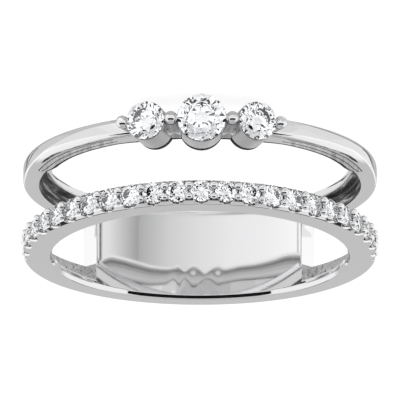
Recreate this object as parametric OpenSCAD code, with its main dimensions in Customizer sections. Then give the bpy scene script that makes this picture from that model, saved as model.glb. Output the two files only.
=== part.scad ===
// Double ring: a plain domed band with three round stones and a band with a row of small stones,
// held apart by a gap and joined at the back by one wide plate.
// The ring lies on its side: the finger axis is Z, the stones of the head point to -Y,
// the three-stone band is the lower one and the origin is on the floor under the middle of the part's box.
// Every shape is made round the finger axis first and then put in its place by placed().

/* [Shank] */
// Inner diameter, the finger size
finger_d = 17.3; // [17.2:0.1:17.6]
// Outer diameter of both bands where they are plain
shank_d = 20.6; // [20.4:0.1:20.8]
// Height of the three-stone band's outer rim above the lowest point of the head
rim_lift = 0.85; // [0.6:0.05:1.1]
// Width of the three-stone band at the back
plain_w = 1.35; // [1.2:0.05:1.6]
// Open gap between the two bands at the back
gap_w = 2.85; // [2:0.05:4]
// Width of the stone-set band
pave_w = 1.56; // [1.5:0.02:1.8]
// How much slimmer the three-stone band is round the head than at the back
slim = 0.2; // [0.1:0.01:0.25]
// Slope by which the three-stone band's gap side gets there, in degrees
slim_angle = 3.3; // [2.5:0.1:4]
// How far the stone-set band bows towards the three-stone band at its head and back
bow = 0.2; // [0.1:0.01:0.2]

/* [Hollows and back plate] */
// Angle from the head to the near end of the three-stone band's hollows
plain_hollow_from = 74; // [74:2:82]
// Angle from the head to the near end of the stone-set band's hollows
pave_hollow_from = 95; // [95:1:105]
// Angle from the back to each end of the plate
plate_half = 43.5; // [43:0.5:44]
// Angle by which the hollows stop short of the plate
hollow_stop = 0.4; // [0.3:0.1:1.5]
// Thickness of the back plate
plate_t = 1.12; // [1.1:0.02:1.14]
// Depth of the step that parts the finger hole's wall at the plate, which the real ring may not have
plate_recess = 0.03; // [0.02:0.01:0.05]
// Metal left under the hollows of the three-stone band
plain_floor_t = 0.92; // [0.7:0.02:1.1]
// Metal left under the hollows of the stone-set band
pave_floor_t = 0.75; // [0.6:0.05:1]
// Thickness of the wall that closes the three-stone band's hollows on the outer side
plain_wall = 0.45; // [0.35:0.05:0.6]
// Thickness of the wall that closes the stone-set band's hollows on the outer side
pave_wall = 0.6; // [0.4:0.05:0.7]

/* [Head] */
// Diameter of the middle stone
centre_d = 2.86; // [2.6:0.02:3]
// Diameter of each side stone
side_d = 2.3; // [2:0.02:2.4]
// Angle from the middle stone to a side stone
side_angle = 17.25; // [16.5:0.25:18.5]
// Distance from the finger axis to the middle stone's girdle
centre_seat = 11.2; // [11:0.05:11.6]
// Distance from the finger axis to a side stone's girdle
side_seat = 11.1; // [10.9:0.05:11.5]
// How far a cup's rim reaches past its stone
rim_over = 0.02; // [0.01:0.01:0.05]
// How much narrower the middle cup is at its foot than at its rim, as a radius
centre_narrow = 0.18; // [0.18:0.02:0.24]
// How much narrower a side cup is at its foot than at its rim, as a radius
side_narrow = 0.06; // [0.06:0.02:0.14]
// Angle of the two inner prongs
inner_prong = 9.2; // [8.8:0.1:9.6]
// Angle of the two outer prongs
outer_prong = 24.4; // [24:0.1:25.5]
// Height of a prong bead's centre above the girdle beside it
prong_rise = 0.1; // [0.05:0.01:0.15]
// Diameter of the bead on top of a prong
prong_bead_d = 0.78; // [0.6:0.02:0.9]

/* [Stone row] */
// Number of stones in the row, an odd number
row_count = 23; // [15:2:23]
// Angle between two stones of the row
row_pitch = 8.1; // [8:0.1:8.2]
// Diameter of a stone of the row
row_d = 1.3; // [1.2:0.02:1.32]
// Distance from the gap side of the stone-set band to the middle of the row
row_in = 0.69; // [0.68:0.01:0.72]
// Distance from the finger axis to the girdles of the row
row_seat = 10.1; // [10.06:0.02:10.2]
// Distance from the finger axis to the centres of the beads
bead_r = 10.2; // [10.1:0.02:10.3]
// Diameter of a bead on the side of the gap
gap_bead_d = 0.56; // [0.4:0.02:0.58]
// Diameter of a bead on the outer side
outer_bead_d = 0.46; // [0.4:0.02:0.54]
// Distance between the two beads of a pair
bead_pair = 0.66; // [0.6:0.02:0.72]
// Distance from the finger axis to the bottom of the space between two posts
ledge_r = 9.96; // [9.9:0.02:9.96]
// How far the row itself bows with the band
row_bow = 0.15; // [0.14:0.01:0.16]
// Width of the space between two posts
notch_w = 1.12; // [1:0.02:1.16]

/* [Cut of the stones] */
// Table's size as a share of the girdle
table_share = 0.57; // [0.5:0.01:0.65]
// Crown's height as a share of the diameter
crown_share = 0.15; // [0.1:0.01:0.18]
// Girdle's height as a share of the diameter
girdle_share = 0.03; // [0.02:0.01:0.05]
// Pavilion's depth as a share of the diameter
pavilion_share = 0.43; // [0.38:0.01:0.43]
// Size of the ring of points under which the lower facets end, as a share of the girdle
lower_share = 0.24; // [0.2:0.01:0.3]

/* [Hidden] */
ROW = [for (i = [0:row_count - 1]) str("row_stone_", i + 1)];

// Radii from the finger axis
bore_r = finger_d / 2;
shank_r = shank_d / 2;
blank_r = bore_r - 0.5;
plate_r = bore_r + plate_t;
cup_foot = bore_r - 0.4;
prong_foot = shank_r - 0.9;
bead_foot = shank_r - 0.8;

// Heights above the floor
centre_rim_r = centre_d / 2 + rim_over;
side_rim_r = side_d / 2 + rim_over;
head_z = centre_rim_r;
plain_z0 = rim_lift;
plain_z1 = plain_z0 + plain_w;
pave_z0 = plain_z1 + gap_w;
pave_z1 = pave_z0 + pave_w;
row_z = pave_z0 + row_in;

// Edges and corners: the dome's rounding, the stone-set band's lean and broken edges,
// and where the inner slope of the three-stone band meets the finger hole, from and to an angle
corner = 0.3;
face_lean = 0.14;
edge = 0.12;
inner_slope = 0.55;
inner_slope_from = 28;
inner_slope_to = 71;

// Where the slimming begins, in front of the finger axis
slim_from = 1.5;

// The top of the middle stone, and how far the finger axis lies behind the middle of the part
head_top = centre_seat + centre_d * (girdle_share / 2 + crown_share);
axis_y = (head_top - shank_r) / 2;

// Shoulders of the row: where they begin, fall of the posts' fronts for each unit towards the rim
// on either side, and the valley between the two beads of a pair
shoulder_r = ledge_r - 0.06;
gap_fall = 1;
outer_fall = 0.42;
valley_w = 0.2;
valley_r = shoulder_r + 0.03;

// Thickness of a post as a share of its bead, and of a prong at its foot and under its bead
post_share = 0.8;
prong_foot_share = 0.7;
prong_top_share = 0.94;

// The curve of the bowed band and how far one shape reaches into the next
bow_r = (bore_r * bore_r + bow * bow) / (2 * bow);
bow_fn = 1440;
past = 1;
overlap = 0.2;

// How far the relief of the plate passes its ends, as an angle, and how far it stays off the bands
relief_past = 0.2;
relief_edge = 0.02;

// Space round each stone, below its point and between its girdle and the cup's rim
clearance = 0.03;
culet_room = 0.08;
rim_drop = 0.12;

hollow_to = 180 - plate_half - hollow_stop;
shoulder_half = row_count / 2 * row_pitch + 0.7;
notch_r = notch_w / 2;
flat_turn = 11.25;
smooth = 96;
bead_fn = 32;
corner_steps = 3;

metal = [0.80, 0.80, 0.81];
stone = [0.93, 0.96, 0.98];

// Angle of a stone of the row from the head
function row_angle(i) = (i - (row_count - 1) / 2) * row_pitch;

// Height at an angle of what sits in the bowed row
function bowed(z, angle) = z - row_bow * pow(cos(angle), 2);

// Points of an arc round a point of an outline
function arc(x, y, r, from, to) =
    [for (k = [0:corner_steps])
        let (a = from + (to - from) * k / corner_steps)
        [x + r * cos(a), y + r * sin(a)]];

// Puts what is made round the finger axis in its place in the part
module placed() {
    translate([0, axis_y, 0]) children();
}

// Puts a child that stands on the origin and points up at an angle round the finger axis,
// measured from the head, so that its Z axis points away from the finger axis
module around(angle, z) {
    translate([0, 0, z]) rotate([0, 0, angle]) rotate([90, 0, 0]) children();
}

// A sector of a ring whose section is the child's outline, centred on an angle from the head
module sector(middle, half) {
    rotate([0, 0, middle - 90 - half]) rotate_extrude(angle = 2 * half, $fn = smooth) children();
}

// Section of the domed band, rounded on both sides of its outer face
module plain_section() {
    polygon(concat(
        [[blank_r, plain_z0]],
        arc(shank_r - corner, plain_z0 + corner, corner, -90, 0),
        arc(shank_r - corner, plain_z1 - corner, corner, 0, 90),
        [[blank_r, plain_z1]]
    ));
}

// The domed band, slimmer towards the head and sloped inwards on the gap side
module plain_band() {
    low = plain_z1 - inner_slope - past;
    high = plain_z1 + overlap;
    slope_middle = (inner_slope_from + inner_slope_to) / 2;
    slope_half = (inner_slope_to - inner_slope_from) / 2;
    difference() {
        rotate_extrude($fn = smooth) plain_section();
        intersection() {
            translate([0, -slim_from, plain_z1]) rotate([slim_angle, 0, 0])
                translate([-shank_d, -shank_d, 0]) cube([2 * shank_d, shank_d, plain_w]);
            translate([-shank_d, -shank_d, plain_z1 - slim]) cube([2 * shank_d, 2 * shank_d, plain_w]);
        }
        for (side = [-1, 1]) sector(side * slope_middle, slope_half)
            polygon([
                [bore_r - past, low],
                [bore_r - past + high - low, high],
                [bore_r - past, high]
            ]);
    }
}

// Section of the stone-set band before its sides are bowed
module pave_section() {
    polygon([
        [blank_r, pave_z0 - bow],
        [shank_r, pave_z0 - bow],
        [shank_r, pave_z1 - face_lean - edge],
        [shank_r - edge, pave_z1 - face_lean],
        [bore_r + edge, pave_z1],
        [blank_r, pave_z1]
    ]);
}

// All that lies above a side face which is bowed down at the head and the back
module above_bow(z) {
    translate([0, 0, z - bow + bow_r]) rotate([90, 0, 0])
        cylinder(r = bow_r, h = 2 * shank_d, center = true, $fn = bow_fn);
}

// Shoulders along the row: each side falls away from the ledge to the rim
module row_shoulders() {
    rim = shank_r + past;
    gap_z = pave_z0 - bow;
    outer_z = pave_z1 - bow;
    reach = rim - shoulder_r;
    sector(0, shoulder_half) {
        polygon([
            [shoulder_r, gap_z - past],
            [shoulder_r, gap_z],
            [rim, gap_z + reach * gap_fall],
            [rim, gap_z - past]
        ]);
        polygon([
            [shoulder_r, outer_z + past],
            [shoulder_r, outer_z],
            [rim, outer_z - reach * outer_fall],
            [rim, outer_z + past]
        ]);
    }
}

// Groove under the row's middle line, between the two beads of each pair
module row_valley() {
    sector(0, shoulder_half)
        translate([valley_r, row_z - row_bow / 2 - valley_w / 2])
            square([shank_r + past - valley_r, valley_w]);
}

// Space left open between the stones, cut down to the ledge on both sides
module notches() {
    for (i = [0:row_count - 1])
        rotate([0, 0, row_angle(i)])
            translate([0, -ledge_r - notch_r, pave_z0 - past])
                cylinder(r = notch_r, h = pave_w + 2 * past, $fn = bead_fn);
}

// One bead on its short post
module bead(angle, z, d) {
    around(angle, bowed(z, angle)) {
        translate([0, 0, bead_r]) sphere(d = d, $fn = bead_fn);
        translate([0, 0, bead_foot]) cylinder(d = d * post_share, h = bead_r - bead_foot, $fn = bead_fn);
    }
}

// Beads that two neighbouring stones share, on the gap side and on the outer side
module beads() {
    for (i = [0:row_count]) {
        bead(row_angle(i - 0.5), row_z - bead_pair / 2, gap_bead_d);
        bead(row_angle(i - 0.5), row_z + bead_pair / 2, outer_bead_d);
    }
}

module pave_band() {
    difference() {
        intersection() {
            rotate_extrude($fn = smooth) pave_section();
            above_bow(pave_z0);
        }
        above_bow(pave_z1);
        row_shoulders();
        row_valley();
        notches();
    }
    beads();
}

// Plate that joins both bands at the back
module back_plate() {
    sector(180, plate_half)
        translate([blank_r, plain_z1 - overlap])
            square([plate_r - blank_r, gap_w + 2 * overlap]);
}

// Shallow step over the plate's inner face. It isn't a feature of the ring in the photo: it only parts
// the finger hole's wall, which the plate would make one face, into one wall for each band
module plate_relief() {
    sector(180, plate_half + relief_past)
        translate([bore_r - past, plain_z1 + relief_edge])
            square([past + plate_recess, gap_w - bow - 2 * relief_edge]);
}

// Hollows on both sides of a band, open to the finger and to the gap
module hollows(from, floor_r, low, high) {
    middle = (from + hollow_to) / 2;
    half = (hollow_to - from) / 2;
    for (side = [-1, 1])
        sector(side * middle, half)
            translate([bore_r - past, low])
                square([floor_r - bore_r + past, high - low]);
}

// Cup under a stone, from its rim down to the finger's side
module cup(angle, seat, rim_r, foot_r) {
    around(angle, head_z)
        translate([0, 0, cup_foot])
            cylinder(r1 = foot_r, r2 = rim_r, h = seat - rim_drop - cup_foot, $fn = smooth);
}

// Prong with a round bead on top, slimmer at its foot
module prong(angle, height) {
    foot_d = prong_bead_d * prong_foot_share;
    top_d = prong_bead_d * prong_top_share;
    around(angle, head_z) {
        translate([0, 0, height]) sphere(d = prong_bead_d, $fn = smooth);
        translate([0, 0, prong_foot])
            cylinder(d1 = foot_d, d2 = top_d, h = height - prong_foot, $fn = smooth);
    }
}

module head() {
    cup(0, centre_seat, centre_rim_r, centre_rim_r - centre_narrow);
    for (side = [-1, 1]) {
        cup(side * side_angle, side_seat, side_rim_r, side_rim_r - side_narrow);
        prong(side * inner_prong, centre_seat + prong_rise);
        prong(side * outer_prong, side_seat + prong_rise);
    }
}

// Seat of a stone: its outline turned round its axis, a little larger than the stone
module seat_space(angle, seat, z, d) {
    r = d / 2 + clearance;
    around(angle, z) translate([0, 0, seat])
        rotate_extrude($fn = smooth)
            polygon([
                [0, -pavilion_share * d - culet_room],
                [r, -girdle_share * d / 2 - clearance],
                [r, girdle_share * d / 2 + clearance],
                [r * table_share, crown_share * d + clearance],
                [0, crown_share * d + clearance]
            ]);
}

// All metal is one casting
module shank() {
    color(metal) difference() {
        union() {
            plain_band();
            pave_band();
            back_plate();
            head();
        }
        translate([0, 0, -past]) cylinder(r = bore_r, h = pave_z1 + 2 * past, $fn = 2 * smooth);
        plate_relief();
        hollows(plain_hollow_from, shank_r - plain_floor_t, plain_z0 + plain_wall, plain_z1 + past);
        hollows(pave_hollow_from, shank_r - pave_floor_t, pave_z0 - past, pave_z1 - pave_wall);
        seat_space(0, centre_seat, head_z, centre_d);
        for (side = [-1, 1]) seat_space(side * side_angle, side_seat, head_z, side_d);
        for (i = [0:row_count - 1]) {
            angle = row_angle(i);
            seat_space(angle, row_seat, bowed(row_z, angle), row_d);
        }
    }
}

// Round brilliant: table, 8 stars, 8 kites, 16 upper halves, 16 girdle faces,
// 16 lower halves and 8 pavilion kites, with the girdle round z = 0
module brilliant(d) {
    r = d / 2;
    table_r = r * table_share;
    crown_h = d * crown_share;
    half_girdle = d * girdle_share / 2;
    depth = d * pavilion_share;
    slope = crown_h / (r - table_r);
    star_r = (table_r * cos(22.5) + r) / 2;
    star_z = half_girdle + slope * (r - star_r * cos(22.5));
    low_r = r * lower_share;
    low_z = -half_girdle - (depth - half_girdle) * (1 - low_r * cos(22.5) / r);
    function ring(radius, count, turn, z) =
        [for (k = [0:count - 1]) [radius * cos(turn + k * 360 / count), radius * sin(turn + k * 360 / count), z]];
    points = concat(
        ring(table_r, 8, 0, half_girdle + crown_h),
        ring(star_r, 8, 22.5, star_z),
        ring(r, 16, 0, half_girdle),
        ring(r, 16, 0, -half_girdle),
        ring(low_r, 8, 22.5, low_z),
        [[0, 0, -depth]]
    );
    star = 8;
    upper = 16;
    lower = 32;
    low = 48;
    culet = 56;
    function next(k, n) = (k + 1) % n;
    function back(k, n) = (k + n - 1) % n;
    faces = concat(
        [[for (k = [7:-1:0]) k]],
        [for (k = [0:7]) [next(k, 8), star + k, k]],
        [for (k = [0:7]) [k, star + k, upper + 2 * k, star + back(k, 8)]],
        [for (k = [0:7]) [star + k, upper + 2 * k + 1, upper + 2 * k]],
        [for (k = [0:7]) [star + k, upper + next(2 * k + 1, 16), upper + 2 * k + 1]],
        [for (k = [0:15]) [upper + k, upper + next(k, 16), lower + next(k, 16), lower + k]],
        [for (k = [0:7]) [low + k, lower + 2 * k, lower + 2 * k + 1]],
        [for (k = [0:7]) [low + k, lower + 2 * k + 1, lower + next(2 * k + 1, 16)]],
        [for (k = [0:7]) [culet, low + back(k, 8), lower + 2 * k, low + k]]
    );
    polyhedron(points, faces);
}

module centre_stone() {
    color(stone) around(0, head_z) translate([0, 0, centre_seat]) brilliant(centre_d);
}

// Left and right are those of a viewer who looks at the head with the three-stone band on top
module side_stone(side) {
    color(stone) around(-side * side_angle, head_z) translate([0, 0, side_seat]) brilliant(side_d);
}

// Stones of the row are numbered from left to right for the same viewer,
// and flats of their girdles face the neighbours
module row_stone(i) {
    angle = -row_angle(i);
    color(stone) around(angle, bowed(row_z, angle))
        translate([0, 0, row_seat]) rotate([0, 0, flat_turn]) brilliant(row_d);
}

placed() shank();
placed() centre_stone();
placed() side_stone(-1);  // side_stone_left
placed() side_stone(1);  // side_stone_right
for (i = [0:row_count - 1])
    placed() row_stone(i);
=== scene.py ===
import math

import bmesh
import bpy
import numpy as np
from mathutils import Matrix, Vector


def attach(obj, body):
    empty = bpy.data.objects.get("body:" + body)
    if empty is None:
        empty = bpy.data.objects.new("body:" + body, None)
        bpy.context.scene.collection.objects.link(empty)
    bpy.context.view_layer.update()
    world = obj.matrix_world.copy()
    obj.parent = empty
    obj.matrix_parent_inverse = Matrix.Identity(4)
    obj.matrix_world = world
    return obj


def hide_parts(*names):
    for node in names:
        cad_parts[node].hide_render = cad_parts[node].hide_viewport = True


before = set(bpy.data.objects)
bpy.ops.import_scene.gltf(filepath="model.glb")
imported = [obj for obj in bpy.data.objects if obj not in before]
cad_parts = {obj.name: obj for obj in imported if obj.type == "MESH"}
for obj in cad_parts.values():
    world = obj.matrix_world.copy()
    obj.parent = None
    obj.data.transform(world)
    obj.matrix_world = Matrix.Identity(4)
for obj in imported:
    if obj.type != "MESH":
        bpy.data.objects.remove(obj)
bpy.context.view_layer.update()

# %% [markdown]
# # A double ring of white metal
#
# The object is a finger ring with two bands. A plain domed band carries three round stones in cups,
# and a second band carries a row of small stones between beads. A wide plate joins the two at the back.
# The ring lies on its side, as it would on a table: the finger axis points up, the head faces -Y.
#
# The fixed frame from the CAD is loaded above. Everything here is made in metres in that same frame,
# so nothing has to be fitted: a length in mm is written as it is in the part's source and turned into
# metres at the end.

MM = 0.001
print("nodes:", len(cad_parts))

# %% [markdown]
# ## Where things are
#
# A point on a ring is easiest to say with three numbers: its distance to the finger axis, its angle
# from the head and its height above the floor. One small function turns them into a place.

# %% Places round the finger axis
AXIS_Y = 0.68595  # the finger axis lies this far behind the middle of the ring's box
BORE = 8.65  # radius of the finger hole
RIM = 10.3  # outer radius of both bands
PLAIN_LOW, PLAIN_TOP = 0.85, 2.2
STONE_LOW, STONE_TOP = 5.05, 6.607
PLATE_HALF = 43.5
PLATE_FROM = 180 - PLATE_HALF
HOLLOW_TO = PLATE_FROM - 0.4
CLOSES = 0.05  # half the angle over which a hollow closes beside the plate


def place(r, angle, z):
    """Places in metres, from distances and heights in mm and angles in degrees."""
    a = np.radians(angle)
    x, y, z = np.broadcast_arrays(r * np.sin(a), AXIS_Y - r * np.cos(a), z)
    return np.stack([x, y, z], -1) * MM


def ease(low, high, value):
    """Rises smoothly from 0 at low to 1 at high."""
    t = np.clip((np.asarray(value, float) - low) / (high - low), 0, 1)
    return t * t * (3 - 2 * t)


def bend(x, y, r, start, end, count):
    """Points of a rounding of a section, from one direction to another, in degrees."""
    a = np.radians(np.linspace(start, end, count))
    return np.stack([x + r * np.cos(a), y + r * np.sin(a)], -1)


def line(a, b, count):
    """Evenly spread points between two corners of a section, without the corners."""
    t = (np.arange(count) + 1)[:, None] / (count + 1)
    return np.array(a, float) * (1 - t) + np.array(b, float) * t


print("bore radius", BORE, "mm, plate from", PLATE_FROM, "degrees")

# %% [markdown]
# ## The camera
#
# The photograph has hardly any perspective, as a picture taken from far away with a long lens, so the
# camera is orthographic. It looks at the ring from 17 degrees above the floor. The picture shows the
# three-stone band on top, and here that band lies on the floor, so the camera is turned upside down
# about its own line of sight.

# %% Camera
PIXELS_PER_MM = 17.14
YAW = math.radians(0.5)
PITCH = math.asin(0.294)
FAR = 120 * MM

right = Vector((-math.cos(YAW), -math.sin(YAW), 0))
back = Vector((math.sin(YAW) * math.cos(PITCH), -math.cos(YAW) * math.cos(PITCH), math.sin(PITCH)))
up = back.cross(right)
camera_data = bpy.data.cameras.new("camera")
camera_data.type = "ORTHO"
camera_data.ortho_scale = 400 / PIXELS_PER_MM * MM
camera_data.clip_start, camera_data.clip_end = 10 * MM, 2
camera = bpy.data.objects.new("camera", camera_data)
bpy.context.collection.objects.link(camera)
target = Vector((0, AXIS_Y, 3.05)) * MM
turned_camera = Matrix((right, up, back)).transposed().to_4x4()
camera.matrix_world = Matrix.Translation(target + back * FAR) @ turned_camera
bpy.context.scene.camera = camera
print("camera looks along", [round(-v, 3) for v in back], "and its top is", [round(v, 3) for v in up])

# %% [markdown]
# ## Polished white metal
#
# The metal is taken for white gold, a mirror with a light neutral grey. A perfect mirror looks like
# computer graphics, so the polish gets what a real one has: a roughness that varies a little, and
# very fine marks of the polishing wheel. The other finishes are chosen to look as the photograph
# does: it doesn't say how the real ring was worked.

# %% Materials of the metal


def shader(name, colour, metallic, roughness):
    """A new material with its principled shader, its links and a helper to add nodes."""
    material = bpy.data.materials.new(name)
    material.use_nodes = True
    nodes, links = material.node_tree.nodes, material.node_tree.links
    bsdf = nodes["Principled BSDF"]
    bsdf.inputs["Base Color"].default_value = (*colour, 1)
    bsdf.inputs["Metallic"].default_value = metallic
    bsdf.inputs["Roughness"].default_value = roughness
    return material, nodes, links, bsdf


def texture(nodes, links, kind, scale, detail=3):
    """A noise or cell texture in object space, so that it stays on the piece in every view."""
    coordinates = nodes.get("Texture Coordinate") or nodes.new("ShaderNodeTexCoord")
    node = nodes.new(kind)
    node.inputs["Scale"].default_value = scale
    if "Detail" in node.inputs:
        node.inputs["Detail"].default_value = detail
    links.new(coordinates.outputs["Object"], node.inputs["Vector"])
    return node


def spread(nodes, links, source, low, high, socket):
    """Maps a texture to a range and feeds it to a socket."""
    node = nodes.new("ShaderNodeMapRange")
    node.inputs["To Min"].default_value = low
    node.inputs["To Max"].default_value = high
    links.new(source, node.inputs["Value"])
    links.new(node.outputs["Result"], socket)


def bump(nodes, links, source, strength, distance, bsdf):
    node = nodes.new("ShaderNodeBump")
    node.inputs["Strength"].default_value = strength
    node.inputs["Distance"].default_value = distance
    links.new(source, node.inputs["Height"])
    links.new(node.outputs["Normal"], bsdf.inputs["Normal"])


def polished_metal():
    material, nodes, links, bsdf = shader("polished_white_metal", (0.88, 0.88, 0.89), 1, 0.08)
    cloud = texture(nodes, links, "ShaderNodeTexNoise", 900)
    spread(nodes, links, cloud.outputs["Fac"], 0.02, 0.06, bsdf.inputs["Roughness"])
    wheel = texture(nodes, links, "ShaderNodeTexNoise", 6000, 2)
    bump(nodes, links, wheel.outputs["Fac"], 0.05, 0.002 * MM, bsdf)
    return material


def grey_ramp(nodes, links, height, stops):
    """Greys by the place along a scale from 0 to 1."""
    node = nodes.new("ShaderNodeValToRGB")
    ramp = node.color_ramp
    ramp.elements.remove(ramp.elements[1])
    for k, (position, value) in enumerate(stops):
        element = ramp.elements[0] if k == 0 else ramp.elements.new(position)
        element.position = position
        element.color = (value, value, value, 1)
    links.new(height, node.inputs["Fac"])
    return node.outputs["Color"]


def cast_metal(name, stops, along, across, roughness):
    """The bottom of a hollow looks as if it were left as cast: dull and uneven, with marks that run along
    it where the noise is stretched. The greys come from the stops; in the streaked one they are dark
    mostly as painted shade inside the hollow."""
    material, nodes, links, bsdf = shader(name, (0.5, 0.5, 0.5), 1, roughness)
    stretch = nodes.new("ShaderNodeMapping")
    stretch.inputs["Scale"].default_value = (along, along, across)
    skin = texture(nodes, links, "ShaderNodeTexNoise", 1, 4)
    links.new(nodes["Texture Coordinate"].outputs["Object"], stretch.inputs["Vector"])
    links.new(stretch.outputs["Vector"], skin.inputs["Vector"])
    links.new(grey_ramp(nodes, links, skin.outputs["Fac"], stops), bsdf.inputs["Base Color"])
    spread(nodes, links, skin.outputs["Fac"], roughness - 0.1, roughness + 0.1, bsdf.inputs["Roughness"])
    bump(nodes, links, skin.outputs["Fac"], 0.6, 0.03 * MM, bsdf)
    return material


def satin_metal():
    """Cups and posts look softer than the bands, as metal that was brushed and not polished."""
    material, nodes, links, bsdf = shader("satin_white_metal", (0.62, 0.62, 0.63), 1, 0.3)
    cloud = texture(nodes, links, "ShaderNodeTexNoise", 1200)
    spread(nodes, links, cloud.outputs["Fac"], 0.22, 0.36, bsdf.inputs["Roughness"])
    brush = texture(nodes, links, "ShaderNodeTexNoise", 5000, 2)
    bump(nodes, links, brush.outputs["Fac"], 0.1, 0.004 * MM, bsdf)
    return material


def filed_metal():
    """The inner strip beside the head has short strokes across it, as if filed and not polished."""
    material, nodes, links, bsdf = shader("filed_white_metal", (0.9, 0.9, 0.9), 1, 0.4)
    stretch = nodes.new("ShaderNodeMapping")
    stretch.inputs["Rotation"].default_value = (0, 0, math.radians(20))
    stretch.inputs["Scale"].default_value = (4500, 350, 350)
    strokes = texture(nodes, links, "ShaderNodeTexNoise", 1, 2)
    links.new(nodes["Texture Coordinate"].outputs["Object"], stretch.inputs["Vector"])
    links.new(stretch.outputs["Vector"], strokes.inputs["Vector"])
    stops = [(0.35, 0.6), (0.5, 0.9), (0.62, 1.0)]
    links.new(grey_ramp(nodes, links, strokes.outputs["Fac"], stops), bsdf.inputs["Base Color"])
    bump(nodes, links, strokes.outputs["Fac"], 0.2, 0.01 * MM, bsdf)
    return material


def painted_shade_and_reflection():
    """For the thin dark lines. On the real ring they are probably mirror images of something dark. A dark
    metal was tried here and still looked grey at so flat an angle, so they are painted on, in a nearly
    black finish that doesn't shine."""
    material, nodes, links, bsdf = shader("painted_shade_and_reflection", (0.03, 0.03, 0.03), 0, 0.7)
    bsdf.inputs["Specular IOR Level"].default_value = 0.1
    crumbs = texture(nodes, links, "ShaderNodeTexNoise", 3000, 2)
    stops = [(0.35, 0.01), (0.55, 0.04), (0.7, 0.1)]
    links.new(grey_ramp(nodes, links, crumbs.outputs["Fac"], stops), bsdf.inputs["Base Color"])
    return material


def matte_metal():
    """For the feet of the cups. As metal they showed in the plate as dark teeth, which the photograph
    doesn't have, so they scatter light evenly instead."""
    material, nodes, links, bsdf = shader("matte_white_metal", (0.6, 0.6, 0.61), 0, 0.7)
    bsdf.inputs["Specular IOR Level"].default_value = 0.2
    sand = texture(nodes, links, "ShaderNodeTexNoise", 7000, 2)
    spread(nodes, links, sand.outputs["Fac"], 0.6, 0.8, bsdf.inputs["Roughness"])
    bump(nodes, links, sand.outputs["Fac"], 0.2, 0.004 * MM, bsdf)
    return material


polish = polished_metal()
satin = satin_metal()
filed = filed_metal()
# Nearly black colour for thin lines: painted dark reflections on rounded edges and cup feet, painted shade
# in creases and under beads
painted_dark = painted_shade_and_reflection()
matte = matte_metal()
STREAKS_AND_SHADE = [(0.33, 0.03), (0.48, 0.1), (0.56, 0.22), (0.63, 0.85)]
SPECKS = [(0.3, 0.25), (0.42, 0.75), (0.6, 0.88)]
# The streaked cast is dark mostly as painted shade in the plain band's hollow; its streaks and bumps are
# cast skin
cast_with_painted_shade = cast_metal("streaked_cast_metal_painted_shade", STREAKS_AND_SHADE, 450, 5000, 0.3)
light_cast = cast_metal("speckled_cast_metal", SPECKS, 5500, 5500, 0.28)
print("metal finishes:", [m.name for m in (polish, satin, filed, painted_dark, matte, cast_with_painted_shade, light_cast)])

# %% [markdown]
# ## Making a piece
#
# Every metal piece is a closed mesh. The helper below builds it, joins points that coincide, turns the
# faces outwards, keeps the real edges sharp and says that the piece belongs to the metal casting.

# %% From points to a piece
SAME_PLACE, NO_SIZE = 0.0002 * MM, 0.0001 * MM  # points closer than this are one, faces smaller than this go
SHARP_FROM = math.radians(32)


def metal_piece(name, points, faces, finishes=(polish,), which=None):
    mesh = bpy.data.meshes.new(name)
    mesh.from_pydata([tuple(p) for p in points], [], [tuple(int(i) for i in f) for f in faces])
    for finish in finishes:
        mesh.materials.append(finish)
    if which is not None:
        mesh.polygons.foreach_set("material_index", np.asarray(which, np.int32).reshape(-1))
    work = bmesh.new()
    work.from_mesh(mesh)
    bmesh.ops.remove_doubles(work, verts=work.verts, dist=SAME_PLACE)
    bmesh.ops.dissolve_degenerate(work, edges=work.edges, dist=NO_SIZE)
    bmesh.ops.recalc_face_normals(work, faces=work.faces)
    work.to_mesh(mesh)
    work.free()
    mesh.shade_smooth()
    mesh.set_sharp_from_angle(angle=SHARP_FROM)
    piece = bpy.data.objects.new(name, mesh)
    bpy.context.collection.objects.link(piece)
    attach(piece, "root")
    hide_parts("shank")
    print("%s: %d faces" % (name, len(mesh.polygons)))
    return piece


def hoop_faces(stations, around):
    """Faces of a closed section that is carried all the way round a ring."""
    s, k = np.meshgrid(np.arange(stations), np.arange(around), indexing="ij")
    t, m = (s + 1) % stations, (k + 1) % around
    return np.stack([s * around + k, t * around + k, t * around + m, s * around + m], -1).reshape(-1, 4)


def both_sides(angles):
    """Angles round the whole ring from those of one side, each once."""
    angles = np.unique(np.round(angles, 4))
    inner = angles[(angles > 0) & (angles < 180)]
    return np.concatenate([angles[angles <= 180], 360 - inner[::-1]])


def from_head(angles):
    """The same angles as distances from the head, 0 to 180."""
    angles = np.asarray(angles) % 360
    return np.minimum(angles, 360 - angles)


def between(row, limits):
    """Whether a row of faces is one of those from the first to before the last."""
    return (row >= limits[0]) & (row < limits[1])


HOLLOW_END = HOLLOW_TO + CLOSES * np.array([-1, -0.5, 0, 0.5, 1])
AT_PLATE = [PLATE_FROM, PLATE_FROM + 0.01]
print("the hollows end at", HOLLOW_TO, "degrees from the head")

# %% [markdown]
# ## The plain domed band
#
# On the real ring this is a cast band, rounded on the outside and polished, slimmer towards the head.
# Inside, beside the back plate, it is hollowed. The way to make it is a section that is carried round the
# finger axis while it changes: the same points always, which move apart where the hollow opens. That
# gives soft polished edges and one clean skin.

# %% Section of the plain band
CORNER, MORE_CORNER = 0.3, 0.14  # rounding of the outer edges, and what the shoulders have more
PLAIN_FLOOR = 9.38  # bottom of the hollow
PLAIN_WALL = PLAIN_LOW + 0.45  # top of the wall that closes the hollow below
PLAIN_OPENS = (70, 76)  # angles between which the hollow opens
SLOPE = (20, 34)  # angles between which the inner slope begins
STRIPS = (0.08, 0.45, 0.54)  # edges between the strips of the gap side, as shares of its width


def plain_top(r, angle):
    """Height of the band's gap side, which sinks towards the head."""
    forward = r * math.cos(math.radians(angle))
    return PLAIN_TOP - min(max(0.0577 * (forward - 1.5), 0), 0.2)


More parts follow.
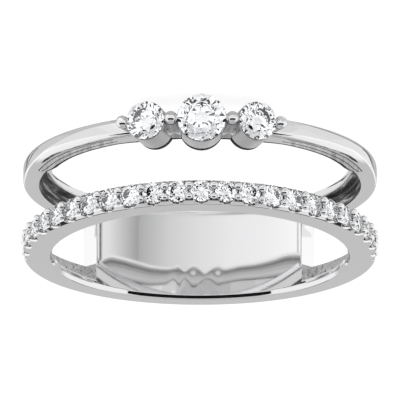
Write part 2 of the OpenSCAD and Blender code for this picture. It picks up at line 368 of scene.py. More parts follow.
def plain_section(angle):
    top_out = plain_top(10, angle)
    top_in = plain_top(9, angle)
    slope = float(ease(*SLOPE, angle))
    leg = 0.1 + slope * (0.45 - (PLAIN_TOP - top_in))
    if angle > PLATE_FROM:
        leg = 0.04
    top_corner = CORNER + MORE_CORNER * float(ease(30, 60, angle) * (1 - ease(80, 95, angle)))
    outer = [
        bend(RIM - CORNER, PLAIN_LOW + CORNER, CORNER, -90, 0, 9),
        np.array([[RIM + 0.007, z] for z in np.linspace(PLAIN_LOW + 0.4, top_out - top_corner - 0.1, 3)]),
        bend(RIM - top_corner, top_out - top_corner, top_corner, 0, 90, 9),
    ]
    strips = np.array([*STRIPS, 0.86 - 0.08 * float(1 - ease(14, 30, angle))])[:, None]
    solid = [
        np.array([RIM - top_corner, top_out]) * (1 - strips) + np.array([BORE + leg, top_in]) * strips,
        bend(BORE + leg, top_in - leg, leg, 90, 180, 8) * 0.5
        + 0.5 * np.linspace((BORE + leg, top_in), (BORE, top_in - leg), 8),
        np.linspace((BORE, top_in - leg - 0.01), (BORE, 1.4), 5),
        np.linspace((BORE, 1.36), (BORE, 1.32), 5),
        line((BORE, 1.32), (BORE, 1.28), 4),
        np.linspace((BORE, 1.28), (BORE, 1.24), 4),
    ]
    hollow = [
        line((RIM - top_corner, top_out), (PLAIN_FLOOR + 0.06, top_in), 4),
        bend(PLAIN_FLOOR + 0.06, top_in - 0.06, 0.06, 90, 180, 8),
        line((PLAIN_FLOOR, top_in - 0.06), (PLAIN_FLOOR, PLAIN_WALL + 0.12), 5),
        bend(PLAIN_FLOOR - 0.12, PLAIN_WALL + 0.12, 0.12, 0, -90, 5),
        line((PLAIN_FLOOR - 0.12, PLAIN_WALL), (BORE + 0.06, PLAIN_WALL), 4),
        bend(BORE + 0.06, PLAIN_WALL - 0.06, 0.06, 90, 180, 4),
    ]
    opened = float(ease(*PLAIN_OPENS, angle) * (1 - ease(HOLLOW_TO - CLOSES, HOLLOW_TO + CLOSES, angle)))
    inner = [a * (1 - opened) + b * opened for a, b in zip(solid, hollow)]
    foot = [
        line((BORE, 1.2), (BORE, PLAIN_LOW + 0.12), 2),
        bend(BORE + 0.12, PLAIN_LOW + 0.12, 0.12, 180, 270, 6),
        line((BORE + 0.12, PLAIN_LOW), (RIM - CORNER, PLAIN_LOW), 3),
    ]
    return np.concatenate(outer + inner + foot)


print("points of the section:", len(plain_section(90)))

# %% The plain band
# Rows of faces of the section, counted from the lower outer edge: the upper rounding, the two thin lines
# painted dark as a painted reflection, all that slopes inwards, the crease above the slope painted dark as
# painted shade, and what is cast skin in the hollow, darkened with painted shade
ROUND_ROWS, LINE_ROWS, SLOPE_ROWS, CREASE_ROWS, CAST_ROWS = (12, 20), (20, 22), (21, 33), (24, 28), (29, 46)
SHOULDER, HOLLOW_NEAR = 74, 71  # angles at which the inner slope ends and the cast skin begins


def plain_band():
    angles = both_sides(np.concatenate([
        np.arange(0, 181, 1.0),
        np.arange(68, 78, 0.2),
        HOLLOW_END,
        AT_PLATE,
    ]))
    sections = np.stack([plain_section(a) for a in from_head(angles)])
    points = place(sections[..., 0], angles[:, None], sections[..., 1]).reshape(-1, 3)
    stations, around = sections.shape[:2]
    faces = hoop_faces(stations, around)
    where = from_head(angles)[:, None].repeat(around, 1)
    finishes = (polish, cast_with_painted_shade, filed, painted_dark, satin)
    polished, cast, stroked, dark, soft = range(len(finishes))
    row = np.arange(around)[None]
    which = np.full((stations, around), polished)
    beside = (where > 30) & (where < SHOULDER)
    which[beside & between(row, SLOPE_ROWS)] = stroked
    # The two thin lines beside the head are painted dark reflections, the crease above the slope is painted
    # shade
    which[beside & np.isin(row, LINE_ROWS)] = dark
    which[(where < SHOULDER) & between(row, CREASE_ROWS)] = dark
    which[(where > 4) & (where < 14) & between(row, ROUND_ROWS)] = soft
    # The cast skin of the hollow, darkened with painted shade
    in_hollow = (sections[..., 0] > BORE + 0.3) & (where > HOLLOW_NEAR) & (where < HOLLOW_TO + 0.1)
    which[in_hollow & between(row, CAST_ROWS)] = cast
    return metal_piece("plain_band", points, faces, finishes, which)


plain_band()

# %% [markdown]
# ## The band with the row of stones
#
# Its upper side is flat and polished, and leans a little outwards. On the outside the setter has cut a
# round scallop under every stone and left a post between two stones, which ends in two beads with a
# groove between them. All this is one skin again: the outer side of the section is a height above the
# finger axis that depends on the place along the row, so every scallop, post, groove and seat is real
# shape.

# %% The row
COUNT, PITCH_ROW = 23, 8.1
SEAT, STONE = 10.1, 1.3
ROW_Z = STONE_LOW + 0.69
SCALLOP, LEDGE = 0.56, 9.96
ROW_END = 94.6
POST_TOP, POST_FALL = 10.24, 0.42  # how high the posts reach, and the slope of their outer sides
SHOULDER_R, GROOVE = 9.9, 9.93  # where the posts begin, and the bottom of the groove between two beads
SEAT_DEPTH, ROOM = 0.58, 0.03  # depth of the cone under a stone, and the room round the stone


def bow(angle):
    return 0.15 * np.cos(np.radians(angle)) ** 2


def face_height(r, angle):
    """Height of the polished upper side, at a distance from the finger axis."""
    return STONE_TOP - 0.14 * (r - BORE) / 1.55 - bow(angle)


def gap_height(angle):
    return STONE_LOW - bow(angle)


def row_height(angle, z):
    """Outer side of the band where the stones are, as distances from the finger axis."""
    nearest = np.clip(np.round(angle / PITCH_ROW), -(COUNT // 2), COUNT // 2) * PITCH_ROW
    along = np.radians(angle - nearest) * RIM
    middle = ROW_Z - bow(angle)
    front = LEDGE + 0.01 + (face_height(10, angle) - z) / POST_FALL
    rear = SHOULDER_R + (z - gap_height(angle))
    post = np.minimum(np.minimum(front, rear), POST_TOP)
    groove = GROOVE + np.maximum(np.abs(z - middle) - 0.05, 0) * 5
    post = np.minimum(post, groove)
    side = np.clip(np.abs(along) / SCALLOP, 0, 1)
    scallop = LEDGE + SCALLOP - SCALLOP * np.sqrt(np.maximum(1 - side ** 2, 0))
    height = np.where(side < 1, np.minimum(post, scallop), post)
    off = np.hypot(along, z - middle)
    bearing = STONE / 2 + ROOM
    seat = SEAT - 0.05 - SEAT_DEPTH * (1 - off / bearing)
    return np.where(off < bearing, np.minimum(height, seat), height)


def plain_rim(angle, z):
    """Outer side of the band past the row: flat with rounded corners."""
    low, high = gap_height(angle), face_height(10, angle)
    height = np.full(z.shape, RIM)
    for gone, r in ((high - z, 0.2), (z - low, 0.15)):
        inside = np.clip(r - gone, 0, r)
        height -= r - np.sqrt(r * r - inside ** 2)
    return height


print("stones in the row:", COUNT, "every", PITCH_ROW, "degrees")

# %% Section of the stone-set band
STONE_FLOOR = 9.55  # bottom of the hollow
STONE_WALL = 6.01  # lower side of the wall that closes the hollow above
STONE_OPENS = (95, 96.5)  # angles between which the hollow opens
CAST_FROM = 95.5  # angle at which the cast skin begins
FACE_POINTS = 10  # points across the upper side
ACROSS = np.concatenate([np.linspace(0, 0.1, 7), np.linspace(0.125, 0.86, 29), np.linspace(0.875, 1, 12)])


def bevel(tilt, first, flat, last):
    """Profile of a polished edge from the wall up: a small rounding, a flat facet, a larger rounding."""
    a, turns = math.radians(tilt), np.radians([12, 27, 44, 62])
    start = [(first * (1 - math.cos(t)), first * math.sin(t)) for t in np.linspace(0, a, 5)]
    x, y = start[-1]
    along = [(x + s * math.sin(a), y + s * math.cos(a)) for s in (0.01, flat - 0.01, flat)]
    x, y = along[-1]
    end = [(x + last * (math.cos(a) - math.cos(a + t)), y + last * (math.sin(a + t) - math.sin(a)))
           for t in turns]
    return np.array(start + along + end)


BEVEL = bevel(28, 0.1, 0.17, 0.12)


def stone_section(angle):
    """Outer side from the gap to the upper face, then in over the face and back through the hole."""
    signed = angle if angle <= 180 else angle - 360
    away = abs(signed)
    low, high = gap_height(away), face_height(10, away)
    z = low + (high - low) * ACROSS
    plain = float(ease(ROW_END, ROW_END + 0.8, away))
    out = (1 - plain) * row_height(signed, z) + plain * plain_rim(away, z)
    outer = np.stack([out, z], -1)
    wide, edge = BEVEL[-1]
    top_in = face_height(BORE + wide, away)
    across = np.linspace(out[-1] - 0.02, BORE + wide, FACE_POINTS + 2)[1:-1]
    face = np.array([[r, face_height(r, away)] for r in across])
    rounding = (BEVEL + (BORE, top_in - edge))[::-1]
    leg = 0.04 if away > PLATE_FROM else 0.1
    solid = [
        line((BORE, top_in - edge), (BORE, STONE_WALL + 0.06), 3),
        np.linspace((BORE, STONE_WALL + 0.06), (BORE, STONE_WALL), 4),
        line((BORE, STONE_WALL), (BORE, STONE_WALL - 0.04), 4),
        np.linspace((BORE, STONE_WALL - 0.04), (BORE, STONE_WALL - 0.1), 5),
        line((BORE, STONE_WALL - 0.1), (BORE, low + leg), 5),
        bend(BORE + leg, low + leg, leg, 180, 270, 6),
        line((BORE + leg, low), (out[0], low), 5),
    ]
    hollow = [
        line((BORE, top_in - edge), (BORE, STONE_WALL + 0.06), 3),
        bend(BORE + 0.06, STONE_WALL + 0.06, 0.06, 180, 270, 4),
        line((BORE + 0.06, STONE_WALL), (STONE_FLOOR - 0.12, STONE_WALL), 4),
        bend(STONE_FLOOR - 0.12, STONE_WALL - 0.12, 0.12, 90, 0, 5),
        line((STONE_FLOOR, STONE_WALL - 0.12), (STONE_FLOOR, low + 0.05), 5),
        bend(STONE_FLOOR + 0.05, low + 0.05, 0.05, 180, 270, 6),
        line((STONE_FLOOR + 0.05, low), (out[0], low), 5),
    ]
    opened = float(ease(*STONE_OPENS, away) * (1 - ease(HOLLOW_TO - CLOSES, HOLLOW_TO + CLOSES, away)))
    inner = [a * (1 - opened) + b * opened for a, b in zip(solid, hollow)]
    return np.concatenate([outer, face, rounding] + inner)


print("points of the section:", len(stone_section(90)))

# %% The stone-set band
def stone_band():
    angles = both_sides(np.concatenate([
        np.arange(0, 96.01, PITCH_ROW / 30),
        np.arange(94, 98, 0.1),
        np.arange(97, 181, 1.5),
        HOLLOW_END,
        AT_PLATE,
    ]))
    sections = np.stack([stone_section(a) for a in angles])
    points = place(sections[..., 0], angles[:, None], sections[..., 1]).reshape(-1, 3)
    stations, around = sections.shape[:2]
    faces = hoop_faces(stations, around)
    where = from_head(angles)[:, None]
    first = len(ACROSS) + FACE_POINTS + len(BEVEL) + 3  # the first row of faces inside the hollow
    in_hollow = (sections[..., 0] > BORE + 0.3) & (where > CAST_FROM) & (where < HOLLOW_TO + 0.1)
    dull = in_hollow & between(np.arange(around)[None], (first, first + 20))
    return metal_piece("stone_band", points, faces, (polish, light_cast), dull)


stone_band()

# %% [markdown]
# ## The back plate
#
# A plain sheet with the curve of the finger joins the bands at the back. It reaches a little into both,
# so that no gap shows between them. The CAD's plate stands back from the finger hole by 0.03 mm, only to
# part the wall of the hole in two. The photograph shows no such step, so the plate is flush here.

# %% The back plate
PLATE_THICK, PLATE_ROUND, PLATE_REACH = 1.12, 0.07, 0.08  # the rounding of the ends, the reach into a band


def back_plate():
    """The outline from above, with rounded ends, carried up from one band to the other."""
    inner, outer, r = BORE - 0.002, BORE + PLATE_THICK, PLATE_ROUND
    half = PLATE_HALF
    turn_in, turn_out = math.degrees(r / inner), math.degrees(r / outer)
    corner = np.radians(np.linspace(0, 90, 6))
    inside = [(inner, a) for a in np.linspace(180 - half + turn_in, 180 + half - turn_in, 88)]
    end = [(inner + r - r * math.cos(c), 180 + half - turn_in * (1 - math.sin(c))) for c in corner[1:]]
    end += [(h, 180 + half) for h in np.linspace(inner + r, outer - r, 6)[1:-1]]
    end += [(outer - r + r * math.sin(c), 180 + half - turn_out * (1 - math.cos(c))) for c in corner]
    outside = [(outer, a) for a in np.linspace(180 + half - turn_out, 180 - half + turn_out, 88)][1:]
    outline = np.array(inside + end + outside + [(h, 360 - a) for h, a in end[::-1]][1:])
    levels = np.array([PLAIN_TOP - PLATE_REACH, STONE_LOW + PLATE_REACH])
    points = np.concatenate([place(outline[:, 0], outline[:, 1], z) for z in levels])
    n = len(outline)
    k = np.arange(n)
    walls = np.stack([k, (k + 1) % n, (k + 1) % n + n, k + n], -1).tolist()
    caps = [list(range(n))[::-1], list(range(n, 2 * n))]
    return metal_piece("back_plate", points, walls + caps)


back_plate()

# %% [markdown]
# ## Cups, prongs and beads
#
# These are turned shapes: a section carried round the axis of a stone. A cup ends flush with the finger
# hole, so its foot is cut to the curve of the hole by moving the points that would stand inside it.

# %% Turned pieces
HEAD_Z = 1.45  # height of the stones' axes above the floor


def turned(angle, z, section, count):
    """Points and faces of a closed turned shape that points away from the finger axis. The section is
    (radius, height) from one end of the axis to the other."""
    section = np.array(section, float)
    turn = np.arange(count) / count * 2 * math.pi
    radius, height = section[:, 0][:, None], section[:, 1][:, None]
    a = math.radians(angle)
    out = np.array([math.sin(a), -math.cos(a), 0])
    along = np.array([math.cos(a), math.sin(a), 0])
    lift = np.array([0, 0, 1.0])
    points = (height[..., None] * out + (radius * np.cos(turn))[..., None] * along
              + (radius * np.sin(turn))[..., None] * lift + np.array([0, AXIS_Y, z]))
    rows, n = points.shape[:2]
    r, k = np.meshgrid(np.arange(rows - 1), np.arange(n), indexing="ij")
    m = (k + 1) % n
    faces = np.stack([r * n + k, r * n + m, (r + 1) * n + m, (r + 1) * n + k], -1).reshape(-1, 4).tolist()
    return points.reshape(-1, 3), faces


def cut_to_bore(points):
    """Moves points that stand inside the finger hole out to its wall."""
    flat = points[:, :2] - np.array([0, AXIS_Y])
    r = np.linalg.norm(flat, axis=1)
    push = np.where(r < BORE, BORE / np.maximum(r, 1e-9), 1)
    points = points.copy()
    points[:, :2] = flat * push[:, None] + np.array([0, AXIS_Y])
    return points


print("axes of the large stones:", HEAD_Z, "mm above the floor")

# %% Cups
CUP_SIDES = 72
FOOT_ROWS = 9  # rows of faces that belong to the foot
GAP_SIDE = slice(2, 35)  # those of the sides that face the gap between the bands


def cup(name, angle, seat, rim, foot, stone, lip):
    """A stone's cup, from the middle of its foot over the outside and the rim down to the seat's point.
    The seat is the distance of the girdle from the finger axis, rim and foot are radii, the stone is its
    width, and the lip is the number of rows above the foot that are painted dark, as a painted reflection."""
    top = seat - 0.1
    slope = (rim - foot) / (top - BORE)
    edge = 0.14
    low = BORE - 0.05
    outside = [(0, low), (foot * 0.5, low), (foot - edge, low)]
    outside += [(foot - edge + edge * math.sin(t), low + 0.05 + edge - edge * math.cos(t))
                for t in np.radians(np.linspace(20, 90, 6))]
    outside += [(foot + slope * (h - BORE), h) for h in np.linspace(BORE + edge + 0.05, top - 0.05, 15)]
    outside += [(rim - 0.01, top - 0.015), (rim - 0.03, top), (rim - 0.05, top - 0.005)]
    point = seat - 0.43 * stone - 0.08
    inside = [(r, point + (top - 0.03 - point) * r / (rim - 0.06)) for r in np.linspace(rim - 0.07, 0, 8)]
    points, faces = turned(angle, HEAD_Z, outside + inside, CUP_SIDES)
    finishes = (satin, painted_dark, matte)
    soft, dark, dull = range(len(finishes))
    which = np.full((len(outside + inside) - 1, CUP_SIDES), soft)
    which[:FOOT_ROWS] = dull
    # The lip and the foot below it on the gap side are painted nearly black, a painted dark reflection
    which[2:FOOT_ROWS + lip, GAP_SIDE] = dark
    return metal_piece(name, cut_to_bore(points) * MM, faces, finishes, which)


cup("centre_cup", 0, 11.2, 1.45, 1.28, 2.86, 3)
cup("side_cup_left", -17.25, 11.1, 1.17, 1.12, 2.3, 2)
cup("side_cup_right", 17.25, 11.1, 1.17, 1.12, 2.3, 2)

# %% Beads on posts


def knob(angle, z, foot, centre, d, foot_d, neck_d, steps=10, count=32):
    """A round bead on a post that is slimmer at its foot."""
    r = d / 2
    start = math.acos(min(neck_d / d, 1))
    section = [(0, foot), (foot_d / 2, foot)]
    section += [(foot_d / 2 + (neck_d - foot_d) / 2 * t, foot + (centre - r * math.sin(start) - foot) * t)
                for t in (0.25, 0.5, 0.75, 0.95)]
    section += [(r * math.cos(t), centre + r * math.sin(t)) for t in np.linspace(-start, math.pi / 2, steps)]
    return turned(angle, z, section, count)


def gather(shapes):
    """One list of points and faces from several."""
    points, faces, base = [], [], 0
    for p, f in shapes:
        points.append(p)
        faces += [[i + base for i in q] for q in f]
        base += len(p)
    return np.concatenate(points), faces


# %% Prongs
# Name, angle, distance of the girdle beside it, distance of the foot and width of the foot
PRONGS = (
    ("outer_left", -24.4, 11.1, 9.4, 0.6),
    ("inner_left", -9.2, 11.2, 9.3, 1.3),
    ("inner_right", 9.2, 11.2, 9.3, 1.3),
    ("outer_right", 24.4, 11.1, 9.4, 0.6),
)
PRONG_BEAD, PRONG_NECK = 0.78, 0.73
PRONG_SIDES, POST_ROWS = 48, 5  # the first rows are the post, the next one is the dark line under the bead

for side, angle, seat, foot, foot_d in PRONGS:
    points, faces = knob(angle, HEAD_Z, foot, seat + 0.1, PRONG_BEAD, foot_d, PRONG_NECK, 16, PRONG_SIDES)
    finishes = (polish, satin, painted_dark)
    polished, soft, dark = range(len(finishes))
    row = np.arange(len(faces)) // PRONG_SIDES
    # The row under the bead is painted nearly black: painted shade under the bead
    which = np.where(row < POST_ROWS, soft, np.where(row == POST_ROWS, dark, polished))
    metal_piece("prong_" + side, points * MM, faces, finishes, which)

# %% Beads of the row
BEAD_FOOT, BEAD_R = 9.6, 10.2
PAIR = ((-0.33, 0.56, 0.44, 0.5), (0.33, 0.46, 0.36, 0.42))  # place, width, and widths of foot and neck


def row_beads():
    shapes = []
    for i in range(COUNT + 1):
        angle = (i - COUNT / 2) * PITCH_ROW
        z = ROW_Z - bow(angle)
        for beside, d, foot_d, neck_d in PAIR:
            shapes.append(knob(angle, z + beside, BEAD_FOOT, BEAD_R, d, foot_d, neck_d))
    points, faces = gather(shapes)
    return metal_piece("row_beads", points * MM, faces)


row_beads()

# %% [markdown]
# ## The stones
#
# The CAD already holds every stone with its real facets, so those meshes stay and get a gem material:
# clear, with a high refractive index, which is what throws the light about.

# %% Stones
def clear_stone():
    material, nodes, links, bsdf = shader("clear_stone", (0.97, 0.98, 1.0), 0, 0.0)
    bsdf.inputs["Transmission Weight"].default_value = 1
    bsdf.inputs["IOR"].default_value = 2.42
    haze = texture(nodes, links, "ShaderNodeTexNoise", 700)
    spread(nodes, links, haze.outputs["Fac"], 0.0, 0.02, bsdf.inputs["Roughness"])
    return material


gem = clear_stone()
gems = 0
for name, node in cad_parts.items():
    if name != "shank":
        node.data.materials.clear()
        node.data.materials.append(gem)
        gems += 1
print("stones:", gems)

# %% [markdown]
# ## Floor and light
#
# Jewellery is often photographed on a light table inside a white tent: the floor glows a little, so
# shadows stay faint. Polished metal shows nothing but its surroundings, so the surroundings are what is
# really designed here. In front and below they are white. Behind the ring lies a grey card, which the
# flat side of the band mirrors. Dark cards draw lines along the rounded edges. The thin lines beside the
# head and at the feet of the cups aren't drawn by light: they are painted dark reflections, nearly black.

# %% Stage pieces


def glow(name, colour, strength):
    """A material that shines evenly, for cards and for the light table."""
    material = bpy.data.materials.new(name)
    material.use_nodes = True
    nodes, links = material.node_tree.nodes, material.node_tree.links
    nodes.remove(nodes["Principled BSDF"])
    lamp = nodes.new("ShaderNodeEmission")
    lamp.inputs["Color"].default_value = (*colour, 1)
    lamp.inputs["Strength"].default_value = strength
    links.new(lamp.outputs["Emission"], nodes["Material Output"].inputs["Surface"])
    return material


def sheet(name, corners_mm, material):
    """A flat stage piece."""
    mesh = bpy.data.meshes.new(name)
    mesh.from_pydata([tuple(c * MM for c in p) for p in corners_mm], [], [tuple(range(len(corners_mm)))])
    mesh.materials.append(material)
    piece = bpy.data.objects.new(name, mesh)
    bpy.context.collection.objects.link(piece)
    return piece


def only_mirrored(piece):
    """Only mirrors see the piece: it isn't in the picture and throws no shadow."""
    piece.visible_camera = piece.visible_diffuse = piece.visible_shadow = False
    piece.visible_transmission = piece.visible_volume_scatter = False
    return piece


def card(name, corners_mm, value):
    return only_mirrored(sheet(name, corners_mm, glow(name + "_paper", (1, 1, 1), value)))


def side_name(side):
    return "right" if side > 0 else "left"


# %% Floor
FLOOR_GLOW = 0.86


def floor():
    material, nodes, links, bsdf = shader("pale_floor", (0.3, 0.3, 0.3), 0, 0.9)
    bsdf.inputs["Emission Color"].default_value = (1, 1, 1, 1)
    bsdf.inputs["Emission Strength"].default_value = FLOOR_GLOW
    bsdf.inputs["Specular IOR Level"].default_value = 0
    grain = texture(nodes, links, "ShaderNodeTexNoise", 400)
    spread(nodes, links, grain.outputs["Fac"], 0.85, 0.95, bsdf.inputs["Roughness"])
    size, z = 600, -0.02
    return sheet("floor", [(-size, -size, z), (size, -size, z), (size, size, z), (-size, size, z)], material)


floor()

# %% Grey card behind the ring, with a dark edge on either side
BACK_GREY = 0.585
DARK = 0.03
half, near, far, wide = 11.5, -1.2, 300, 82  # half widths of the card at its near and far end
CLEAR = 9.3  # radius within which the card is left out
turn = math.degrees(math.acos((near - AXIS_Y) / CLEAR))
notch = [tuple(p / MM) for p in place(CLEAR, 180 - np.linspace(-turn, turn, 41), -0.01)]
card("grey_card", [(-half, near, -0.01), *notch, (half, near, -0.01),
                   (wide, far, -0.01), (-wide, far, -0.01)], BACK_GREY)
for side in (-1, 1):
    card("card_edge_" + side_name(side),
         [(side * half, near, -0.005), (side * (half + 0.2), near, -0.005),
          (side * (wide + 1), far, -0.005), (side * wide, far, -0.005)], DARK)

# %% [markdown]
# The inside of the ring mirrors the floor within the hole, upside down and smaller. There lies a disc that
# goes from grey to white. The dark wavy band across the real ring's plate is most likely the mirror image
# of the head. In this setting that image looks different, so a bent ribbon of greys is drawn along
# the head instead, with two pale spots for the cups, and strips beyond it.

# %% Disc within the hole
DISC = [(0, 0.05), (0.008, 0.05), (0.026, 0.86), (0.06, 0.83), (0.12, 0.66), (0.17, 0.52), (0.212, 0.4),
        (0.222, 0.48), (0.3, 0.6), (0.36, 0.7), (0.5, 0.82), (0.65, 0.92), (0.8, 0.96), (0.974, 1.05),
        (0.992, 0.1), (1, 0.1)]


def shaded_disc():
    """Strips that run from the back wall forward and spread, as light mirrored by that wall does."""
    rim = [tuple(p / MM) for p in place(CLEAR, np.arange(0, 360, 5), -0.01)]
    card("pale_disc", rim, 0.86)
    turns = np.radians(np.linspace(-43, 43, 44))
    start = BORE * np.cos(turns) / 2 + 0.05
    reach = start + (18 - start) * np.linspace(0, 1, 9)[:, None]
    x = BORE * np.sin(turns) - reach * np.sin(2 * turns)
    y = AXIS_Y + BORE * np.cos(turns) - reach * np.cos(2 * turns)
    mesh = bpy.data.meshes.new("shaded_disc")
    rows, n = x.shape
    r, k = np.meshgrid(np.arange(rows - 1), np.arange(n - 1), indexing="ij")
    faces = np.stack([r * n + k, r * n + k + 1, (r + 1) * n + k + 1, (r + 1) * n + k], -1).reshape(-1, 4)
    points = np.stack([x, y, np.full(x.shape, -0.009)], -1).reshape(-1, 3) * MM
    mesh.from_pydata(points.tolist(), [], faces.tolist())
    sideways = mesh.uv_layers.new(name="sideways")
    share = np.tile(np.linspace(1, 0, n), rows)
    for loop in mesh.loops:
        sideways.data[loop.index].uv = (share[loop.vertex_index], 0.5)
    material = glow("disc_paper", (1, 1, 1), 1)
    nodes, links = material.node_tree.nodes, material.node_tree.links
    split = nodes.new("ShaderNodeSeparateXYZ")
    links.new(nodes.new("ShaderNodeTexCoord").outputs["UV"], split.inputs["Vector"])
    links.new(grey_ramp(nodes, links, split.outputs["X"], DISC), nodes["Emission"].inputs["Color"])
    mesh.materials.append(material)
    piece = bpy.data.objects.new("shaded_disc", mesh)
    bpy.context.collection.objects.link(piece)
    return only_mirrored(piece)


shaded_disc()
print("shades across the disc:", len(DISC))

# %% Ribbon along the head
NEAR = [(-9.9, 5.6), (-8.3, 3.9), (-7.9, 1.9), (-7.4, -0.2), (-6.4, -2.5), (-4.8, -4.1), (-3.6, -4.6),
        (-2.8, -4.4), (-2.2, -5.7), (-0.9, -4.6), (-0.1, -5.2), (0.8, -6.4), (1.6, -5.4), (2.4, -4.5),
        (3.6, -4.7), (5.1, -3.3), (6.7, -1.5), (7.6, 0.9), (7.7, 3.7), (8.0, 5.8)]
FAR_SIDE = [(-13.8, 7.2), (-12.8, 3.2), (-11.9, -0.1), (-10.9, -3.0), (-9.0, -5.7), (-6.3, -7.2),
            (-4.5, -7.1), (-3.8, -8.5), (-2.5, -7.3), (-1.5, -9.1), (-0.2, -8.9), (0.9, -7.7),
            (1.9, -7.7), (3.3, -8.4), (4.7, -7.6), (6.8, -6.1), (9.1, -4.0), (10.9, -1.2),
            (12.1, 2.8), (13.1, 6.5)]
SHADES = [(0, 0.86), (0.12, 0.42), (0.22, 0.2), (0.36, 0.36), (0.5, 0.5), (0.68, 0.58), (0.84, 0.42),
          (0.94, 0.08)]
BEYOND = (0.9, 0.86, 0.8, 0.7, 0.58, 0.5, 0.48, 0.48, 0.52, 0.6, 0.66, 0.7)
SPOTS = ((-0.99, -6.4), (2.82, -6.1))
STATIONS, SPAN = 96, 8  # points along the ribbon, and those that one strip beyond it takes


def smooth_line(points, count):
    """A curve through the points, evenly numbered."""
    points = np.array(points, float)
    at = np.linspace(0, len(points) - 1, count)
    k = np.clip(at.astype(int), 0, len(points) - 2)
    t = (at - k)[:, None]
    padded = np.concatenate([[2 * points[0] - points[1]], points, [2 * points[-1] - points[-2]]])
    a, b, c, d = (padded[k + j] for j in range(4))
    curve = (2 * a - 5 * b + 4 * c - d) * t ** 2 + (3 * b - a - 3 * c + d) * t ** 3
    return 0.5 * (2 * b + (c - a) * t + curve)


def ribbon():
    near_side, far_side = smooth_line(NEAR, STATIONS), smooth_line(FAR_SIDE, STATIONS)
    ends = [s for s, _ in SHADES[1:]] + [1]
    for k, ((start, value), end) in enumerate(zip(SHADES, ends)):
        first, last = (near_side * (1 - s) + far_side * s for s in (start, end))
        outline = [(*p, -0.007) for p in [*first, *last[::-1]]]
        card("ribbon_%d" % (k + 1), outline, value)
    for k, value in enumerate(BEYOND):
        part = slice(SPAN * k, SPAN * k + SPAN + 1)
        first, last = (near_side[part] * (1 - s) + far_side[part] * s for s in (1, 1.8))
        card("beyond_%d" % (k + 1), [(*p, -0.0065) for p in [*first, *last[::-1]]], value)
    card("beyond_base", [(x, y, -0.0078) for x, y in ((-4, -14), (4, -14), (4, -7), (-4, -7))], 0.5)
    turns = np.radians(np.arange(0, 360, 15))
    for k, (x, y) in enumerate(SPOTS):
        for size, value, z in ((0.75, 0.3, -0.006), (0.42, 0.7, -0.005)):
            spot = [(x + size * math.cos(t), y + size * math.sin(t), z) for t in turns]
            card("spot_%d_%d" % (k + 1, round(size * 100)), spot, value)


ribbon()
print("strips of the ribbon:", len(SHADES), "and beyond it:", len(BEYOND))

# %% [markdown]
# Small things are mirrored too. The hollows are dark and the polished walls across from them would show
# them, so pale cards stand before the mouths of the lower hollows and grey ones lie under those of the upper
# ones, where the flat side of the plain band mirrors them. Sheets on the floor shade the domed band.

# %% Cards at the mouths of the hollows


def arc_cards(name, turns, edges, value):
    """Cards in a row along an arc on both sides, between two edges given by radius and height."""
    for side in (-1, 1):
        low, high = ([tuple(p / MM) for p in place(r, side * turns, z)] for r, z in edges)
        for k in range(len(turns) - 1):
            corners = [low[k], low[k + 1], high[k + 1], high[k]]
            card("%s_%s_%d" % (name, side_name(side), k + 1), corners, value)


arc_cards("mouth", np.linspace(74, 135, 24),
          ((BORE + 0.05, PLAIN_WALL + 0.05), (BORE + 0.05, PLAIN_TOP - 0.25)), 0.7)
arc_cards("under", np.linspace(95, PLATE_FROM, 15),
          ((BORE + 0.02, STONE_LOW - 0.03), (9.62, STONE_LOW - 0.03)), 0.45)

# %% Pale grey sheets on both sides, which the domed band mirrors: first and last angle, and the grey
SHEETS = {-1: ((17, 84, 0.9), (19, 78, 0.84), (21, 43, 0.76), (21, 37, 0.7), (21, 31, 0.62)),
          1: ((32, 84, 0.95), (38, 80, 0.9), (44, 76, 0.84))}
for side, steps in SHEETS.items():
    for k, (first, last, value) in enumerate(steps):
        arc = side * np.linspace(first, last, 15)
        outline = [place(r, a, -0.013 + 0.001 * k) / MM for r, a in ((11.6, arc), (21, arc[::-1]))]
        card("side_%s_%d" % (side_name(side), k + 1), [tuple(p) for p in np.concatenate(outline)], value)
print("sheets:", sum(len(steps) for steps in SHEETS.values()))

# %% [markdown]
# In front of the ring lies a dark card and stands a black screen, for lines along edges and on the beads.

# %% Dark cards in front
card("dark_card", [(-60, -45, -0.01), (60, -45, -0.01), (60, -24, -0.01), (-60, -24, -0.01)], 0.04)


def black_screen(low, high, reach, distance=250):
    """A curved screen in front, between two heights in degrees."""
    turns = np.radians(np.linspace(-reach, reach, 25))
    heights = np.radians([low, high])[:, None]
    x = distance * np.cos(heights) * np.sin(turns)
    y = -distance * np.cos(heights) * np.cos(turns)
    z = distance * np.sin(heights) + 0 * turns
    for k in range(len(turns) - 1):
        corners = [(x[r, k + c], y[r, k + c], z[r, k + c]) for r, c in ((0, 0), (0, 1), (1, 1), (1, 0))]
        card("black_screen_%d" % (k + 1), corners, 0.01)


black_screen(23, 53, 64)

# %% [markdown]
# A cut stone sparkles because its facets show bright and dark things side by side. In an even white tent it
# would look like milk glass, so black wedges stand before a bright card, and only the stones see them.

# %% Wedges and a bright card that only the stones see
WEDGES = 9
FAN_Y, FAN_Z = -90, 3


def only_through_stones(piece):
    """Only light that has passed a stone shows the piece."""
    piece.visible_camera = piece.visible_diffuse = piece.visible_shadow = piece.visible_glossy = False


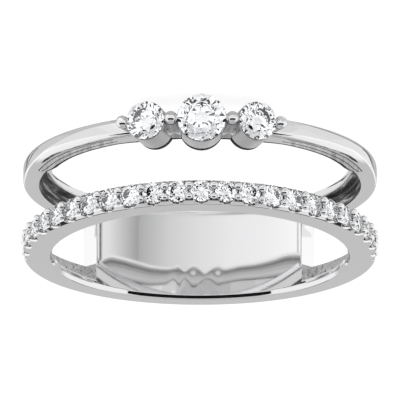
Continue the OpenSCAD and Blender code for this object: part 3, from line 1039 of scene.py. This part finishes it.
def fan(inner=10, outer=80, half=8):
    """Wedges round the line along which the stones look out."""
    for k in range(WEDGES):
        middle = 360 * (k + 0.5) / WEDGES
        low, high = np.radians([middle - half, middle + half])
        corners = [(r * math.cos(a), FAN_Y, FAN_Z + r * math.sin(a))
                   for r, a in ((inner, low), (inner, high), (outer, high), (outer, low))]
        paper = glow("fan_paper_%d" % (k + 1), (1, 1, 1), 0.01)
        only_through_stones(sheet("fan_%d" % (k + 1), corners, paper))


fan()
bright = [(-160, -95, 0), (160, -95, 0), (160, -95, 160), (-160, -95, 160)]
only_through_stones(sheet("bright_card", bright, glow("bright_paper", (1, 1, 1), 1.5)))
print("wedges:", WEDGES)

# %% [markdown]
# What is left is the world itself, one picture of greys by height for what is in front and one for what is
# behind. The band's flat side mirrors the back, so the grey there is the grey of the card.

# %% Surroundings
scene = bpy.context.scene
scene.view_settings.view_transform = "Standard"
scene.view_settings.look = "None"

FRONT = [(0.0, 1.0), (0.74, 0.95), (0.86, 0.6), (1.0, 0.5)]
REAR = [(0.0, BACK_GREY), (0.55, BACK_GREY), (0.56, 0.03), (0.66, 0.03), (0.69, 0.8), (1.0, 0.9)]


def surroundings():
    world = bpy.data.worlds.new("studio")
    scene.world = world
    world.use_nodes = True
    nodes, links = world.node_tree.nodes, world.node_tree.links
    direction = nodes.new("ShaderNodeTexCoord")
    split = nodes.new("ShaderNodeSeparateXYZ")
    links.new(direction.outputs["Generated"], split.inputs["Vector"])
    behind = nodes.new("ShaderNodeMapRange")
    behind.interpolation_type = "SMOOTHSTEP"
    behind.inputs["From Min"].default_value = 0.55
    behind.inputs["From Max"].default_value = 0.7
    links.new(split.outputs["Y"], behind.inputs["Value"])
    mix = nodes.new("ShaderNodeMix")
    mix.data_type = "RGBA"
    links.new(behind.outputs["Result"], mix.inputs["Factor"])
    links.new(grey_ramp(nodes, links, split.outputs["Z"], FRONT), mix.inputs["A"])
    links.new(grey_ramp(nodes, links, split.outputs["Z"], REAR), mix.inputs["B"])
    links.new(mix.outputs["Result"], nodes["Background"].inputs["Color"])
    nodes["Background"].inputs["Strength"].default_value = 1.0
    return world


surroundings()
print("surroundings are in place")
